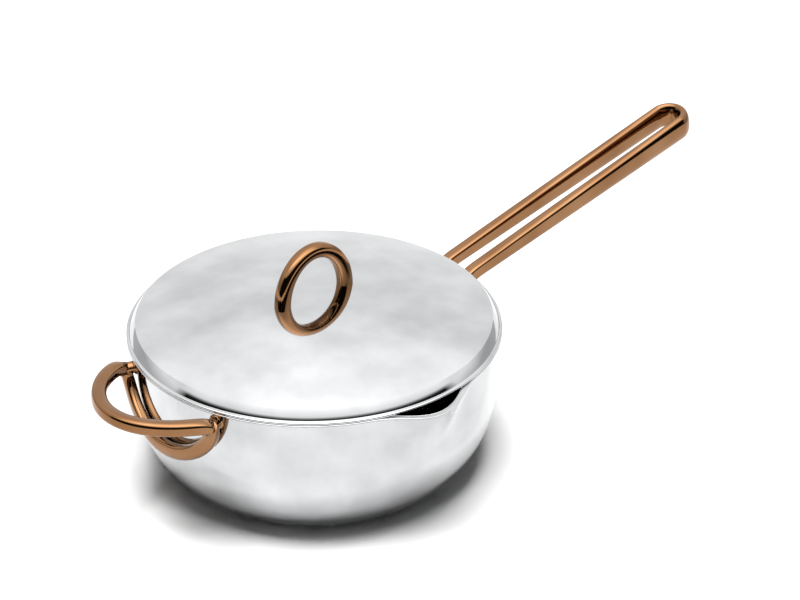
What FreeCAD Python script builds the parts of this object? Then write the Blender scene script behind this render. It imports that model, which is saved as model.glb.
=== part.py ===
import FreeCAD, Part

import math
import os

import Sketcher
from FreeCAD import Placement, Rotation, Vector

# A lidded saucepan: three-ply steel vessel with one pouring spout, a long looped handle,
# a folded helper ring and a domed steel lid with an arched knob.
# +Z is up and the origin is the centre of the flat base.  The long handle points along +X,
# the helper ring along -X and the spout near -Y.  Lengths are millimetres, angles degrees.

doc = FreeCAD.newDocument("saucepan")

# ---------------------------------------------------------------- driving dimensions

SIZES = [
    # vessel
    ("base_inset", 37.9, "edge of the flat base inside the wall's radius at the rim"),
    ("heel_radius", 28.0, "small bend between the base and the side"),
    ("side_radius", 71.6, "large bend of the side"),
    ("wall_radius", 113.7, "outside of the wall at the rim"),
    ("wall_taper", 1.43, "lean of the wall away from upright, degrees"),
    ("vessel_height", 90.8, "table to rim"),
    ("outer_ply", 0.5, "outer stainless layer"),
    ("core_ply", 1.6, "aluminium layer"),
    ("inner_ply", 0.5, "inner stainless layer"),
    ("lip_width", 1.4, "how far the rim's lip stands out"),
    ("lip_height", 1.4, "thickness of the rim's lip, which also covers the core"),
    # spout
    ("spout_reach", 12.0, "spout beyond the wall at the rim"),
    ("spout_radius", 36.0, "round of the spout at the rim"),
    ("spout_flare", 20.0, "lean of the spout's front, degrees"),
    ("spout_turn", 3.0, "spout's middle away from -Y, toward the helper ring, degrees"),
    ("spout_depth", 45.0, "height of the cone that makes the spout"),
    # rivets
    ("rivet_radius", 2.0, "shank"),
    ("rivet_head_radius", 5.0, "domed head inside the vessel"),
    ("rivet_head_height", 1.6, "crown of the head"),
    ("rivet_head_round", 1.2, "round of the head's edge"),
    ("rivet_depth", 7.0, "shank beyond the vessel's wall"),
    ("rivet_fit", 0.02, "clearance round the shank"),
    ("rivet_seat_gap", 0.12, "flat head off the curved wall, at its middle"),
    ("bore_spare", 0.5, "blind bore beyond the shank's or screw's end"),
    ("shank_chamfer", 0.4, "at the end of a rivet's or screw's shank"),
    # long handle
    ("handle_spacing", 21.6, "between the centre lines of the two legs"),
    ("handle_standoff", 1.3, "straight centre line is measured from this far off the wall"),
    ("handle_below_rim", 4.4, "centre line below the rim there"),
    ("handle_rise", 12.6, "upward slope, degrees"),
    ("handle_length", 202.5, "from the crossing to the centre of the end bend"),
    ("handle_root_width", 8.2, "leg near the vessel, side to side"),
    ("handle_root_tall", 9.2, "leg near the vessel, top to bottom"),
    ("handle_root_round", 2.0, "edges of the leg near the vessel"),
    ("handle_tip_width", 7.6, "leg at the end bend, side to side"),
    ("handle_tip_tall", 17.6, "leg at the end bend, top to bottom"),
    ("handle_tip_round", 3.5, "edges of the leg at the end bend"),
    ("root_bend_start", 12.0, "where the downward bend at the root begins"),
    ("root_bend_radius", 40.0, "radius of that bend"),
    ("root_bend_turn", 14.0, "turn of that bend, degrees"),
    ("root_overrun", 14.0, "leg past the bend before it is trimmed to the wall"),
    # helper ring
    ("ring_bar_width", 9.2, "bar, from the inside of the ring to its outside"),
    ("ring_outer_thickness", 8.8, "bar in the outer half, square to the ring"),
    ("ring_lower_thickness", 7.0, "bar in the lower half, square to the wall"),
    ("ring_bar_round", 2.8, "edges of the bar"),
    ("ring_bar_tilt", 10.0, "lean of the outer half's top toward the wall, degrees"),
    ("ring_half_width", 43.1, "half the ring across, on the bar's centre line"),
    ("ring_reach", 33.9, "outer half beyond the wall, on the centre line"),
    ("ring_drop", 35.7, "lower half below the outer half, on the centre line"),
    ("ring_below_rim", 2.2, "outer half below the rim, on the centre line"),
    ("ring_wall_gap", 0.3, "between the lower half and the wall"),
    ("ring_fold_softness", 0.27, "share of the half ring over which the fold is rounded"),
    ("ring_boss_radius", 4.0, "stub that seats each corner on the wall"),
    # lid
    ("lid_overhang", 1.3, "folded edge beyond the wall's radius at the rim"),
    ("lid_sheet", 1.2, "steel sheet"),
    ("hem_height", 2.0, "folded edge, top to bottom"),
    ("hem_flat", 1.8, "top of the folded edge, from its outside to the shoulder"),
    ("shoulder_width", 5.7, "lid's outside to the crease between shoulder and dome"),
    ("shoulder_height", 5.75, "crease above the folded edge"),
    ("dome_rise", 13.65, "top of the dome above the crease"),
    ("skirt_clearance", 0.7, "between the skirt and the rivets' heads"),
    ("skirt_depth", 5.3, "skirt below the rim"),
    # knob
    ("knob_half_span", 24.3, "half the distance between the feet"),
    ("knob_height", 30.5, "centre line of the arch above the feet"),
    ("knob_bar", 9.4, "bar, across and through"),
    ("knob_bar_round", 3.0, "edges of the bar"),
    ("screw_radius", 2.0, "thread, plain"),
    ("screw_length", 8.0, "thread inside the knob's foot"),
    ("screw_head_radius", 3.8, "pan head"),
    ("screw_head_height", 2.4, "pan head"),
    ("screw_head_round", 1.2, "round of the pan head's edge"),
    ("screw_slot_width", 1.0, "driver slot"),
    ("screw_slot_depth", 1.1, "driver slot"),
    ("screw_fit", 0.02, "clearance of the thread in the foot"),
    ("screw_hole_clearance", 0.3, "clearance in the lid and the washer"),
    ("washer_radius", 5.2, "outside"),
    ("washer_thickness", 1.0, "washer"),
    ("washer_chamfer", 0.2, "outer edge of the washer"),
    ("washer_seat_gap", 0.05, "flat washer off the curved lid, at its middle"),
]

sheet = doc.addObject("Spreadsheet::Sheet", "dims")
for row, (alias, value, note) in enumerate(SIZES, start=1):
    sheet.set(f"A{row}", note)
    sheet.set(f"B{row}", str(value))
    sheet.setAlias(f"B{row}", alias)
doc.recompute()


def size(alias):
    return float(getattr(sheet, alias))


def named(expression):
    """Turn bare size names into references to the sheet."""
    words = sorted((alias for alias, _, _ in SIZES), key=len, reverse=True)
    out = expression
    for index, word in enumerate(words):
        out = out.replace(word, f"@{index}@")
    for index, word in enumerate(words):
        out = out.replace(f"@{index}@", f"dims.{word}")
    return out


def value_of(expression):
    """The number that an expression in bare size names has now."""
    result = sheet.evalExpression(named(expression))
    return float(getattr(result, "Value", result))


def bind(target, path, expression):
    target.setExpression(path, named(expression))


# ---------------------------------------------------------------- sizes that follow from others

FULL_HEIGHT = "vessel_height"
COVERED_HEIGHT = "vessel_height - lip_height"
BASE_RADIUS = "(wall_radius - base_inset)"
CORE_OUTSIDE = "outer_ply"
CORE_INSIDE = "outer_ply + core_ply"
CAVITY = "outer_ply + core_ply + inner_ply"
SPOUT_CENTRE = "(wall_radius + spout_reach - spout_radius)"
SPOUT_X = f"-{SPOUT_CENTRE} * sin(spout_turn * 1deg)"
SPOUT_Y = f"-{SPOUT_CENTRE} * cos(spout_turn * 1deg)"
HANDLE_START = "wall_radius + handle_standoff"
HANDLE_HEIGHT = "vessel_height - handle_below_rim"
RING_HEIGHT = "vessel_height - ring_below_rim"
LID_RADIUS = "(wall_radius + lid_overhang)"
SHOULDER_RADIUS = f"({LID_RADIUS} - shoulder_width)"
HEM_TOP = "vessel_height + hem_height"
HEM_EDGE = "hem_height / 2"
CREASE = f"{HEM_TOP} + shoulder_height"
DOME_RADIUS = f"({SHOULDER_RADIUS} ^ 2 + dome_rise ^ 2) / (2 * dome_rise)"
DOME_CENTRE = f"{CREASE} + dome_rise - {DOME_RADIUS}"
SKIRT_OUTSIDE = f"wall_radius - ({CAVITY}) - rivet_head_height - skirt_clearance"
SCREW_BORE = "screw_radius + screw_hole_clearance"

# Rounds of a search that halves or closes its error each time, which ends far below a micron.
SEARCH_ROUNDS = 60
# Two places this close, in mm, are the same place.
TOUCH = 1e-6

# ---------------------------------------------------------------- helpers for bodies


def new_body(label):
    body = doc.addObject("PartDesign::Body", label)
    body.Label = label
    return body


def origin_plane(body, role):
    for feature in body.Origin.OriginFeatures:
        if feature.Role == role:
            return feature
    raise RuntimeError(f"{body.Label} has no {role}")


def new_sketch(body, name, role="XZ_Plane"):
    sketch = body.newObject("Sketcher::SketchObject", f"{body.Label}_{name}")
    sketch.AttachmentSupport = [(origin_plane(body, role), "")]
    sketch.MapMode = "FlatFace"
    return sketch


def pin(sketch, axis, geometry, vertex, expression):
    """Hold one coordinate of a vertex at an expression, measured from the origin."""
    on_axis = {"X": -2, "Y": -1}[axis]
    if expression == "0":
        sketch.addConstraint(Sketcher.Constraint("PointOnObject", geometry, vertex, on_axis))
        return
    number = value_of(expression)
    index = sketch.addConstraint(
        Sketcher.Constraint(f"Distance{axis}", -1, 1, geometry, vertex, number)
    )
    bind(sketch, f"Constraints[{index}]", expression)


def outline(body, name, corners, role="XZ_Plane"):
    """A closed outline of straight lines between corners given as pairs of expressions."""
    sketch = new_sketch(body, name, role)
    points = [Vector(value_of(across), value_of(up), 0) for across, up in corners]
    count = len(points)
    for index in range(count):
        sketch.addGeometry(Part.LineSegment(points[index], points[(index + 1) % count]))
    for index in range(count):
        sketch.addConstraint(
            Sketcher.Constraint("Coincident", index, 2, (index + 1) % count, 1)
        )
    for index, (across, up) in enumerate(corners):
        pin(sketch, "X", index, 1, across)
        pin(sketch, "Y", index, 1, up)
    return sketch


def revolve(body, sketch, cut=False):
    """Turn a sketch round its vertical axis, to add or to remove material."""
    kind = "PartDesign::Groove" if cut else "PartDesign::Revolution"
    feature = body.newObject(kind, f"{sketch.Name}_{'groove' if cut else 'revolve'}")
    feature.Profile = sketch
    feature.ReferenceAxis = (sketch, ["V_Axis"])
    feature.Angle = 360.0
    sketch.Visibility = False
    return feature


def primitive(body, kind, name, sizes, offset):
    """A PartDesign primitive on the body's XY plane, shifted and turned by offset."""
    feature = body.newObject(f"PartDesign::{kind}", f"{body.Label}_{name}")
    feature.AttachmentSupport = [(origin_plane(body, "XY_Plane"), "")]
    feature.MapMode = "FlatFace"
    feature.AttachmentOffset = offset
    for prop, expression in sizes.items():
        bind(feature, prop, expression)
    return feature


# ---------------------------------------------------------------- vessel

def vessel_outline(body, name, inset, top):
    """Half section of the solid inside the vessel's outside face moved in by inset."""
    sketch = new_sketch(body, name)
    depth = value_of(inset)
    crown = value_of(top)
    slope = math.radians(size("wall_taper"))
    base, heel, side = value_of(BASE_RADIUS), size("heel_radius"), size("side_radius")

    def wall_at(height):
        drop = size("vessel_height") - height
        return size("wall_radius") - drop * math.tan(slope) - depth / math.cos(slope)

    # The side bend's centre is side - heel from the heel's centre and side from the wall.
    centre_z = heel
    for _ in range(SEARCH_ROUNDS):
        centre_x = wall_at(centre_z) - (side - depth) / math.cos(slope)
        centre_z = heel + math.sqrt((side - heel) ** 2 - (base - centre_x) ** 2)
    heel_centre = Vector(base, heel, 0)
    side_centre = Vector(centre_x, centre_z, 0)
    meet = (heel_centre - side_centre).normalize()
    meet_angle = math.atan2(meet.y, meet.x)
    high = side_centre + Vector(math.cos(slope), -math.sin(slope), 0) * (side - depth)

    up = Vector(0, 0, 1)
    sketch.addGeometry(Part.LineSegment(Vector(0, depth, 0), Vector(base, depth, 0)))
    sketch.addGeometry(
        Part.ArcOfCircle(Part.Circle(heel_centre, up, heel - depth), -math.pi / 2, meet_angle)
    )
    sketch.addGeometry(
        Part.ArcOfCircle(Part.Circle(side_centre, up, side - depth), meet_angle, -slope)
    )
    sketch.addGeometry(Part.LineSegment(high, Vector(wall_at(crown), crown, 0)))
    sketch.addGeometry(Part.LineSegment(Vector(wall_at(crown), crown, 0), Vector(0, crown, 0)))
    sketch.addGeometry(Part.LineSegment(Vector(0, crown, 0), Vector(0, depth, 0)))
    for first, first_end, second, second_end in ((0, 2, 1, 1), (1, 2, 2, 1), (2, 2, 3, 1)):
        sketch.addConstraint(
            Sketcher.Constraint("Tangent", first, first_end, second, second_end)
        )
    for first, second in ((3, 4), (4, 5), (5, 0)):
        sketch.addConstraint(Sketcher.Constraint("Coincident", first, 2, second, 1))
    sketch.addConstraint(Sketcher.Constraint("Horizontal", 0))
    sketch.addConstraint(Sketcher.Constraint("Horizontal", 4))
    pin(sketch, "X", 0, 1, "0")
    pin(sketch, "X", 5, 1, "0")
    pin(sketch, "Y", 0, 1, inset)
    pin(sketch, "X", 0, 2, BASE_RADIUS)
    for arc, radius in ((1, "heel_radius"), (2, "side_radius")):
        index = sketch.addConstraint(
            Sketcher.Constraint("Radius", arc, value_of(f"{radius} - ({inset})"))
        )
        bind(sketch, f"Constraints[{index}]", f"{radius} - ({inset})")
    fall = f"(vessel_height - ({top})) * tan(wall_taper)"
    pin(sketch, "X", 3, 2, f"wall_radius - {fall} - ({inset}) / cos(wall_taper)")
    pin(sketch, "Y", 3, 2, top)
    index = sketch.addConstraint(Sketcher.Constraint("Angle", -2, 1, 3, 1, -slope))
    bind(sketch, f"Constraints[{index}]", "-wall_taper * 1deg")
    return sketch


def bind_place(feature, *expressions):
    """Hold the X, Y and Z of a primitive at expressions."""
    for axis, expression in zip("xyz", expressions):
        bind(feature, f"AttachmentOffset.Base.{axis}", expression)


def vessel_form(body, name, inset, top, cut=False):
    """Add or remove the solid bounded by the vessel's outside face moved in by inset.

    It is a turned bowl joined to an upright cone that bulges through the wall as the spout.
    """
    revolve(body, vessel_outline(body, name, inset, top), cut)
    top_radius = (
        f"spout_radius - (vessel_height - ({top})) * tan(spout_flare)"
        f" - ({inset}) / cos(spout_flare)"
    )
    foot = f"({top}) - spout_depth"
    centre = Vector(value_of(SPOUT_X), value_of(SPOUT_Y), value_of(foot))
    sizes = {
        "Radius1": f"{top_radius} - spout_depth * tan(spout_flare)",
        "Radius2": top_radius,
        "Height": "spout_depth",
    }
    kind = "SubtractiveCone" if cut else "AdditiveCone"
    cone = primitive(body, kind, f"{name}_spout", sizes, Placement(centre, Rotation()))
    bind_place(cone, SPOUT_X, SPOUT_Y, foot)


def wall_radius_at(height):
    """Outside radius of the leaning wall."""
    slope = math.radians(size("wall_taper"))
    return size("wall_radius") - (size("vessel_height") - height) * math.tan(slope)


def rivet_frame(azimuth, height):
    """Origin on the inside of the wall, +Z pointing outward, square to the wall."""
    slope = size("wall_taper")
    wall = value_of(CAVITY) / math.cos(math.radians(slope))
    radius = wall_radius_at(height) - wall
    turn = Rotation(Vector(0, 0, 1), azimuth) * Rotation(Vector(0, 1, 0), 90.0 + slope)
    angle = math.radians(azimuth)
    return Placement(
        Vector(radius * math.cos(angle), radius * math.sin(angle), height), turn
    )


def long_handle_line():
    """Centre line of the handle between its legs: wall end, bend end, bend start, tip."""
    rise = math.radians(size("handle_rise"))
    turn = math.radians(size("root_bend_turn"))
    radius = size("root_bend_radius")
    crossing = Vector(value_of(HANDLE_START), 0, value_of(HANDLE_HEIGHT))
    along = Vector(math.cos(rise), 0, math.sin(rise))
    bend_start = crossing + along * size("root_bend_start")
    centre = bend_start + Vector(math.sin(rise), 0, -math.cos(rise)) * radius
    bend_end = centre + Vector(-math.sin(rise + turn), 0, math.cos(rise + turn)) * radius
    steep = Vector(math.cos(rise + turn), 0, math.sin(rise + turn))
    wall_end = bend_end - steep * size("root_overrun")
    tip = crossing + along * size("handle_length")
    return wall_end, bend_end, bend_start, tip


def leg_seat():
    """Azimuth and height at which the centre line of a leg meets the wall."""
    half = size("handle_spacing") / 2
    wall_end, bend_end, _, _ = long_handle_line()
    inner, outer = 0.0, 1.0
    for _ in range(SEARCH_ROUNDS):
        share = (inner + outer) / 2
        point = wall_end + (bend_end - wall_end) * share
        if math.hypot(point.x, half) < wall_radius_at(point.z):
            inner = share
        else:
            outer = share
    return math.degrees(math.atan2(half, point.x)), point.z


def ring_shares(phase):
    """How far the helper ring is in its outer half and in its lower half, from 0 to 1.

    The two shares swap smoothly over the fold.
    """
    lift, soft = math.sin(phase), size("ring_fold_softness")
    blend = math.hypot(lift, soft)
    rest = (math.hypot(1.0, soft) - 1.0) / 2
    return (blend + lift) / 2 - rest, (blend - lift) / 2 - rest


def ring_point(phase):
    """Centre line of the helper ring: an ellipse folded about its long axis.

    The outer half lies level and reaches away from the wall, and the lower half hangs close
    against it.
    """
    outer_share, lower_share = ring_shares(phase)
    side = size("ring_half_width") * math.cos(phase)
    height = value_of(RING_HEIGHT) - size("ring_drop") * lower_share
    hug = wall_radius_at(height) + size("ring_wall_gap") + size("ring_lower_thickness") / 2
    away = math.sqrt(hug * hug - side * side) + size("ring_reach") * outer_share
    return Vector(-away, side, height)


def ring_section(phase, tangent):
    """The bar's section, its thickness up in the outer half and off the wall in the lower."""
    outer_share, lower_share = ring_shares(phase)
    point = ring_point(phase)
    tilt = math.radians(size("ring_bar_tilt"))
    top = Vector(math.sin(tilt), 0, math.cos(tilt))
    off_wall = Vector(point.x, point.y, 0).normalize()
    face = top * outer_share + off_wall * lower_share
    face = (face - tangent * face.dot(tangent)).normalize()
    low, high = size("ring_lower_thickness"), size("ring_outer_thickness")
    thickness = low + (high - low) * outer_share / (outer_share + lower_share)
    width, edge_round = size("ring_bar_width"), size("ring_bar_round")
    return soft_box(point, face.cross(tangent), face, width, thickness, edge_round)


def corner_seat():
    """Azimuth and height of the helper ring's corner on the +Y side."""
    corner = ring_point(0.0)
    return math.degrees(math.atan2(corner.y, corner.x)), corner.z


LEG_AZIMUTH, LEG_HEIGHT = leg_seat()
CORNER_AZIMUTH, CORNER_HEIGHT = corner_seat()
RIVET_SEATS = {
    "long_handle_rivet_left": (LEG_AZIMUTH, LEG_HEIGHT),
    "long_handle_rivet_right": (-LEG_AZIMUTH, LEG_HEIGHT),
    "helper_handle_rivet_left": (CORNER_AZIMUTH, CORNER_HEIGHT),
    "helper_handle_rivet_right": (-CORNER_AZIMUTH, CORNER_HEIGHT),
}


def pierce_for_rivets(body):
    """Holes through the wall for the four rivets."""
    for name, (azimuth, height) in RIVET_SEATS.items():
        frame = rivet_frame(azimuth, height)
        start = frame.multVec(Vector(0, 0, -size("rivet_depth")))
        sizes = {"Radius": "rivet_radius + rivet_fit", "Height": "2 * rivet_depth"}
        offset = Placement(start, frame.Rotation)
        primitive(body, "SubtractiveCylinder", f"{name}_hole", sizes, offset)


def make_plies():
    outer = new_body("vessel_outer_ply")
    vessel_form(outer, "outside", "0", FULL_HEIGHT)
    flat = Placement(Vector(0, 0, value_of(COVERED_HEIGHT)), Rotation())
    lip_sizes = {"Radius": "wall_radius + lip_width", "Height": "lip_height"}
    lip = primitive(outer, "AdditiveCylinder", "lip", lip_sizes, flat)
    bind(lip, "AttachmentOffset.Base.z", COVERED_HEIGHT)
    flat.Base = Vector(value_of(SPOUT_X), value_of(SPOUT_Y), flat.Base.z)
    lip_sizes = {"Radius": "spout_radius + lip_width", "Height": "lip_height"}
    spout_lip = primitive(outer, "AdditiveCylinder", "spout_lip", lip_sizes, flat)
    bind_place(spout_lip, SPOUT_X, SPOUT_Y, COVERED_HEIGHT)
    vessel_form(outer, "core_room", CORE_OUTSIDE, COVERED_HEIGHT, cut=True)
    vessel_form(outer, "mouth", CORE_INSIDE, FULL_HEIGHT, cut=True)
    pierce_for_rivets(outer)

    core = new_body("vessel_core_ply")
    vessel_form(core, "outside", CORE_OUTSIDE, COVERED_HEIGHT)
    vessel_form(core, "inside", CORE_INSIDE, COVERED_HEIGHT, cut=True)
    pierce_for_rivets(core)

    inner = new_body("vessel_inner_ply")
    vessel_form(inner, "outside", CORE_INSIDE, FULL_HEIGHT)
    vessel_form(inner, "cavity", CAVITY, FULL_HEIGHT, cut=True)
    pierce_for_rivets(inner)
    return [outer, core, inner]


def round_rim(body, radius):
    """Round the outer edge at the low end of the turned piece that is the body's tip."""
    doc.recompute()
    turned = body.Tip
    low = turned.Shape.BoundBox.ZMin
    wide = max(
        (edge.Curve.Radius, index)
        for index, edge in enumerate(turned.Shape.Edges, start=1)
        if isinstance(edge.Curve, Part.Circle) and abs(edge.Curve.Center.z - low) < TOUCH
    )
    fillet = body.newObject("PartDesign::Fillet", f"{body.Label}_rim")
    fillet.Base = (turned, [f"Edge{wide[1]}"])
    bind(fillet, "Radius", radius)
    return fillet


def head_and_shank(body, kind, head, end):
    """A rounded head between two heights, with a chamfered shank from it up to end."""
    seat, crown = head
    corners = [("0", seat), (f"{kind}_head_radius", seat), (f"{kind}_head_radius", crown)]
    revolve(body, outline(body, "head", [*corners, ("0", crown)]))
    round_rim(body, f"{kind}_head_round")
    corners = [
        ("0", seat),
        (f"{kind}_radius", seat),
        (f"{kind}_radius", f"{end} - shank_chamfer"),
        (f"{kind}_radius - shank_chamfer", end),
        ("0", end),
    ]
    revolve(body, outline(body, "shank", corners))


def make_rivets():
    """Shank along +Z from the inside of the wall, with a domed head behind it."""
    rivets = []
    for name, (azimuth, height) in RIVET_SEATS.items():
        body = new_body(name)
        head_and_shank(
            body,
            "rivet",
            ("-rivet_seat_gap", "-rivet_head_height"),
            f"{CAVITY} + rivet_depth",
        )
        body.Placement = rivet_frame(azimuth, height)
        rivets.append(body)
    return rivets


def wall_tool():
    """The solid that a handle must stay out of: the upper wall with its lip."""
    low = Vector(0, 0, size("heel_radius"))
    high = Vector(0, 0, size("vessel_height") + size("handle_tip_tall"))
    wall = Part.makeCone(wall_radius_at(low.z), wall_radius_at(high.z), high.z - low.z, low)
    under_lip = Vector(0, 0, value_of(COVERED_HEIGHT))
    lip_radius = size("wall_radius") + size("lip_width")
    return wall.fuse(Part.makeCylinder(lip_radius, size("lip_height"), under_lip))


def rivet_bore(azimuth, height):
    frame = rivet_frame(azimuth, height)
    wall = value_of(CAVITY)
    depth = wall + size("rivet_depth") + size("bore_spare")
    bore = Part.makeCylinder(size("rivet_radius") + size("rivet_fit"), depth)
    bore.Placement = frame
    return bore


def soft_box(centre, side, rise, width, tall, edge_round):
    """Rectangle with rounded corners, its width along side and its height along rise."""
    across, up = side * (width / 2 - edge_round), rise * (tall / 2 - edge_round)
    wide, high = side * edge_round, rise * edge_round
    middle = math.sqrt(0.5)
    corners = []
    for hand, lift in ((1, 1), (-1, 1), (-1, -1), (1, -1)):
        heart = centre + across * hand + up * lift
        ends = [heart + wide * hand, heart + high * lift]
        if hand != lift:
            ends.reverse()
        corners.append((ends[0], heart + (wide * hand + high * lift) * middle, ends[1]))
    edges = []
    for index, corner in enumerate(corners):
        edges.append(Part.Arc(*corner).toShape())
        edges.append(Part.makeLine(corner[2], corners[(index + 1) % 4][0]))
    return Part.Wire(edges)


def add_feature(label, shape):
    feature = doc.addObject("Part::Feature", label)
    feature.Label = label
    feature.Shape = shape
    return feature


def make_long_handle():
    """Two legs that grow taller toward the tip, joined by a half turn of the tip's section."""
    wall_end, bend_end, bend_start, tip = long_handle_line()
    rise = math.radians(size("handle_rise"))
    turn = math.radians(size("root_bend_turn"))
    bend_radius = size("root_bend_radius")
    half = size("handle_spacing") / 2
    side = Vector(0, 1, 0)

    def normal(angle):
        return Vector(-math.sin(angle), 0, math.cos(angle))

    def leg_section(hand, point, angle, share):
        """Section of a leg, grown by a share of the way from the root's to the tip's."""
        sizes = [
            size(f"handle_root_{kind}") * (1 - share) + size(f"handle_tip_{kind}") * share
            for kind in ("width", "tall", "round")
        ]
        return soft_box(point + side * (hand * half), side, normal(angle), *sizes)

    bend_middle = bend_start + (normal(rise + turn / 2) - normal(rise)) * bend_radius
    root_stations = [
        (wall_end, rise + turn, 0.0),
        (bend_end, rise + turn, 0.0),
        (bend_middle, rise + turn / 2, 0.0),
        (bend_start, rise, 0.0),
    ]
    straight_stations = [
        (bend_start + (tip - bend_start) * share, rise, share) for share in (0.0, 0.5, 1.0)
    ]
    legs = []
    for hand in (1, -1):
        for stations in (root_stations, straight_stations):
            sections = [leg_section(hand, *station) for station in stations]
            legs.append(Part.makeLoft(sections, True))
    bend = Part.Face(leg_section(1, tip, rise, 1.0)).revolve(tip, normal(rise), -180)
    shape = legs[0].fuse(legs[1:] + [bend]).cut(wall_tool())
    bores = [rivet_bore(hand * LEG_AZIMUTH, LEG_HEIGHT) for hand in (1, -1)]
    return add_feature("long_handle", shape.cut(bores).removeSplitter())


# Sections that the helper ring's bar is drawn through.
RING_STATIONS = 60


def make_helper_handle():
    """Flattened bar along the folded ring, with a stub at each corner seated on the wall.

    The bar is drawn from the middle of the outer half, so that its seam is far from a fold.
    """
    step = 2 * math.pi / RING_STATIONS
    phases = [math.pi / 2 + step * index for index in range(RING_STATIONS)]
    line = Part.BSplineCurve()
    line.interpolate([ring_point(phase) for phase in phases], PeriodicFlag=True)
    sections = []
    for phase in phases:
        tangent = line.tangent(line.parameter(ring_point(phase)))[0]
        sections.append(ring_section(phase, tangent))
    ring = Part.makeLoft(sections, True, False, True)
    stubs = []
    for azimuth in (CORNER_AZIMUTH, -CORNER_AZIMUTH):
        frame = rivet_frame(azimuth, CORNER_HEIGHT)
        corner = ring_point(0.0)
        length = math.hypot(corner.x, corner.y) - math.hypot(frame.Base.x, frame.Base.y)
        stub = Part.makeCylinder(size("ring_boss_radius"), length)
        stub.Placement = frame
        stubs.append(stub)
    shape = ring.fuse(stubs).cut(wall_tool())
    bores = [rivet_bore(hand * CORNER_AZIMUTH, CORNER_HEIGHT) for hand in (1, -1)]
    return add_feature("helper_handle", shape.cut(bores))


# ---------------------------------------------------------------- lid

def foot_frame(hand):
    """Origin on top of the dome under one foot of the knob, +Z square to the dome."""
    radius = value_of(DOME_RADIUS)
    lean = math.asin(size("knob_half_span") / radius) * hand
    height = value_of(DOME_CENTRE) + radius * math.cos(lean)
    place = Vector(radius * math.sin(lean), 0, height)
    return Placement(place, Rotation(Vector(0, 1, 0), math.degrees(lean)))


FEET = {"front": foot_frame(1), "rear": foot_frame(-1)}


def dome_arc(sketch, radius, inner_end, outer_end):
    """Arc of the dome from the axis to the shoulder, as sketch geometry."""
    centre = Vector(0, value_of(DOME_CENTRE), 0)
    circle = Part.Circle(centre, Vector(0, 0, 1), radius)
    start = math.atan2(outer_end.y - centre.y, outer_end.x - centre.x)
    end = math.atan2(inner_end.y - centre.y, inner_end.x - centre.x)
    return sketch.addGeometry(Part.ArcOfCircle(circle, start, end))


def make_lid_shell():
    """Dome, sloping shoulder and an edge folded under, which ends in a skirt."""
    body = new_body("lid_shell")
    sketch = new_sketch(body, "section")
    radius = value_of(DOME_RADIUS)
    centre = value_of(DOME_CENTRE)
    thin = size("lid_sheet")
    inner_crease = value_of(SHOULDER_RADIUS) - thin
    inner_height = centre + math.sqrt((radius - thin) ** 2 - inner_crease**2)
    shoulder_foot = f"{LID_RADIUS} - hem_flat"
    edge = f"{LID_RADIUS} - {HEM_EDGE}"
    under = f"{HEM_TOP} - lid_sheet"
    skirt_end = "vessel_height - skirt_depth"
    corners = [
        (SHOULDER_RADIUS, CREASE),
        (shoulder_foot, HEM_TOP),
        (edge, HEM_TOP),
        (edge, "vessel_height"),
        (SKIRT_OUTSIDE, "vessel_height"),
        (SKIRT_OUTSIDE, skirt_end),
        (f"{SKIRT_OUTSIDE} - lid_sheet", skirt_end),
        (f"{SKIRT_OUTSIDE} - lid_sheet", under),
        (f"{shoulder_foot} - lid_sheet", under),
    ]
    points = [Vector(value_of(across), value_of(up), 0) for across, up in corners]
    points.append(Vector(inner_crease, inner_height, 0))
    top = Vector(0, centre + radius, 0)
    bottom = Vector(0, centre + radius - thin, 0)

    dome_arc(sketch, radius, top, points[0])
    for index in range(len(points) - 1):
        if index == 2:
            middle = (points[2] + points[3]) / 2
            round_edge = Part.Circle(middle, Vector(0, 0, 1), value_of(HEM_EDGE))
            sketch.addGeometry(Part.ArcOfCircle(round_edge, -math.pi / 2, math.pi / 2))
        else:
            sketch.addGeometry(Part.LineSegment(points[index], points[index + 1]))
    dome_arc(sketch, radius - thin, bottom, points[-1])
    sketch.addGeometry(Part.LineSegment(bottom, top))

    # Arcs run counter-clockwise, so each end is named: outer dome, edge, inner dome.
    joins = [(0, 1, 1, 1), (1, 2, 2, 1), (2, 2, 3, 2), (3, 1, 4, 1)]
    joins += [(line, 2, line + 1, 1) for line in range(4, 9)]
    joins += [(9, 2, 10, 1), (10, 2, 11, 1), (11, 2, 0, 2)]
    for first, first_end, second, second_end in joins:
        sketch.addConstraint(
            Sketcher.Constraint("Coincident", first, first_end, second, second_end)
        )
    for arc, expression in ((0, DOME_RADIUS), (10, f"{DOME_RADIUS} - lid_sheet")):
        sketch.addConstraint(Sketcher.Constraint("PointOnObject", arc, 3, -2))
        pin(sketch, "Y", arc, 3, DOME_CENTRE)
        sketch.addConstraint(Sketcher.Constraint("PointOnObject", arc, 2, -2))
        index = sketch.addConstraint(Sketcher.Constraint("Radius", arc, value_of(expression)))
        bind(sketch, f"Constraints[{index}]", expression)
    starts = [(1, 1), (2, 1), (3, 2), (4, 1), (5, 1), (6, 1), (7, 1), (8, 1), (9, 1)]
    for (line, end), (across, up) in zip(starts, corners):
        pin(sketch, "X", line, end, across)
        if line != 1:
            pin(sketch, "Y", line, end, up)
    pin(sketch, "X", 3, 3, edge)
    pin(sketch, "X", 9, 2, f"{SHOULDER_RADIUS} - lid_sheet")
    revolve(body, sketch)

    # The drill starts a sheet's thickness under the sheet and ends as far above it.
    hole = {"Radius": SCREW_BORE, "Height": "3 * lid_sheet"}
    for name, frame in FEET.items():
        start = frame.multVec(Vector(0, 0, value_of("-2 * lid_sheet")))
        offset = Placement(start, frame.Rotation)
        primitive(body, "SubtractiveCylinder", f"{name}_hole", hole, offset)
    return body


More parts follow.
